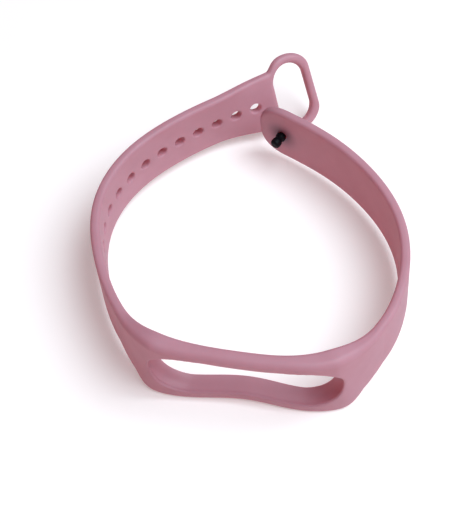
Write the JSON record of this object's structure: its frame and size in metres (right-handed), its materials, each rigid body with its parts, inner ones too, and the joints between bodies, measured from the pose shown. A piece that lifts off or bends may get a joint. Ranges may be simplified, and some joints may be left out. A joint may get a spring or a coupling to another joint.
{
  "type": "fitness tracker band",
  "caption": "Flexible silicone wrist band with an open stadium pocket for a tracker, a perforated strap ending in a keeper loop, and a strap with a snap-in stud.",
  "frame": {"origin": "middle of the band's bounding box in plan, at the level of the surface that its side edge rests on", "axes": "+Z runs across the strap, upwards from the edge it lies on; the tracker pocket faces -Y; the perforated strap leaves the pocket towards -X and the stud strap towards +X"},
  "size_m": [0.0726, 0.0886, 0.0206],
  "materials": {
    "silicone": "matte moulded silicone, dusty pink, slightly translucent",
    "stud": "smooth moulded, near black"
  },
  "bodies": {
    "tracker_frame": {"tracker_frame": "silicone"},
    "hole_strap_root": {"hole_strap_root": "silicone"},
    "hole_strap_lower": {"hole_strap_lower": "silicone"},
    "hole_strap_middle": {"hole_strap_middle": "silicone"},
    "hole_strap_upper": {"hole_strap_upper": "silicone"},
    "hole_strap_end": {"hole_strap_end": "silicone"},
    "keeper_loop": {"keeper_loop": "silicone"},
    "stud_strap_root": {"stud_strap_root": "silicone"},
    "stud_strap_lower": {"stud_strap_lower": "silicone"},
    "stud_strap_middle": {"stud_strap_middle": "silicone"},
    "stud_strap_upper": {"stud_strap_upper": "silicone"},
    "stud_strap_tip": {"stud_strap_tip": "silicone"},
    "stud": {"stud_cap": "stud", "stud_head": "stud"}
  },
  "joints": [
    {"name": "hole_strap_open", "type": "hinge", "parent": "tracker_frame", "child": "hole_strap_root", "pos_m": [-0.02346, -0.03586, 0.0103], "axis": [0, 0, 1], "range_deg": [0, 25], "stiffness_Nm_per_rad": 0.003},
    {"name": "hole_lower_flex", "type": "hinge", "parent": "hole_strap_root", "child": "hole_strap_lower", "pos_m": [-0.03242, -0.02133, 0.0103], "axis": [0, 0, 1], "range_deg": [0, 25], "stiffness_Nm_per_rad": 0.003},
    {"name": "hole_middle_flex", "type": "hinge", "parent": "hole_strap_lower", "child": "hole_strap_middle", "pos_m": [-0.03629, -0.00571, 0.0103], "axis": [0, 0, 1], "range_deg": [0, 25], "stiffness_Nm_per_rad": 0.003},
    {"name": "hole_upper_flex", "type": "hinge", "parent": "hole_strap_middle", "child": "hole_strap_upper", "pos_m": [-0.03191, 0.00996, 0.0103], "axis": [0, 0, 1], "range_deg": [0, 25], "stiffness_Nm_per_rad": 0.003},
    {"name": "hole_end_flex", "type": "hinge", "parent": "hole_strap_upper", "child": "hole_strap_end", "pos_m": [-0.0216, 0.02208, 0.0103], "axis": [0, 0, 1], "range_deg": [0, 25], "stiffness_Nm_per_rad": 0.003},
    {"name": "stud_strap_open", "type": "hinge", "parent": "tracker_frame", "child": "stud_strap_root", "pos_m": [0.03169, -0.03259, 0.0103], "axis": [0, 0, -1], "range_deg": [0, 25], "stiffness_Nm_per_rad": 0.003},
    {"name": "stud_lower_flex", "type": "hinge", "parent": "stud_strap_root", "child": "stud_strap_lower", "pos_m": [0.03629, -0.01397, 0.0103], "axis": [0, 0, -1], "range_deg": [0, 25], "stiffness_Nm_per_rad": 0.003},
    {"name": "stud_middle_flex", "type": "hinge", "parent": "stud_strap_lower", "child": "stud_strap_middle", "pos_m": [0.03203, 0.00238, 0.0103], "axis": [0, 0, -1], "range_deg": [0, 25], "stiffness_Nm_per_rad": 0.003},
    {"name": "stud_upper_flex", "type": "hinge", "parent": "stud_strap_middle", "child": "stud_strap_upper", "pos_m": [0.02123, 0.01515, 0.0103], "axis": [0, 0, -1], "range_deg": [0, 25], "stiffness_Nm_per_rad": 0.003},
    {"name": "stud_tip_flex", "type": "hinge", "parent": "stud_strap_upper", "child": "stud_strap_tip", "pos_m": [0.00816, 0.02347, 0.0103], "axis": [0, 0, -1], "range_deg": [0, 25], "stiffness_Nm_per_rad": 0.003},
    {"name": "keeper_loop_flex", "type": "hinge", "parent": "hole_strap_end", "child": "keeper_loop", "pos_m": [-0.00488, 0.03433, 0.00962], "axis": [-0.1675, 0.2618, 0.9505], "range_deg": [0, 30], "stiffness_Nm_per_rad": 0.003},
    {"name": "stud_spin", "type": "hinge", "parent": "stud_strap_tip", "child": "stud", "pos_m": [0.00278, 0.02638, 0.0103], "axis": [0.3998, 0.9166, 0], "continuous": true}
  ],
  "couplings": [
    {"joint": "hole_lower_flex", "follows": "hole_strap_open", "ratio": 1},
    {"joint": "hole_middle_flex", "follows": "hole_strap_open", "ratio": 1},
    {"joint": "hole_upper_flex", "follows": "hole_strap_open", "ratio": 1},
    {"joint": "hole_end_flex", "follows": "hole_strap_open", "ratio": 1},
    {"joint": "stud_strap_open", "follows": "hole_strap_open", "ratio": 1},
    {"joint": "stud_lower_flex", "follows": "hole_strap_open", "ratio": 1},
    {"joint": "stud_middle_flex", "follows": "hole_strap_open", "ratio": 1},
    {"joint": "stud_upper_flex", "follows": "hole_strap_open", "ratio": 1},
    {"joint": "stud_tip_flex", "follows": "hole_strap_open", "ratio": 1}
  ]
}
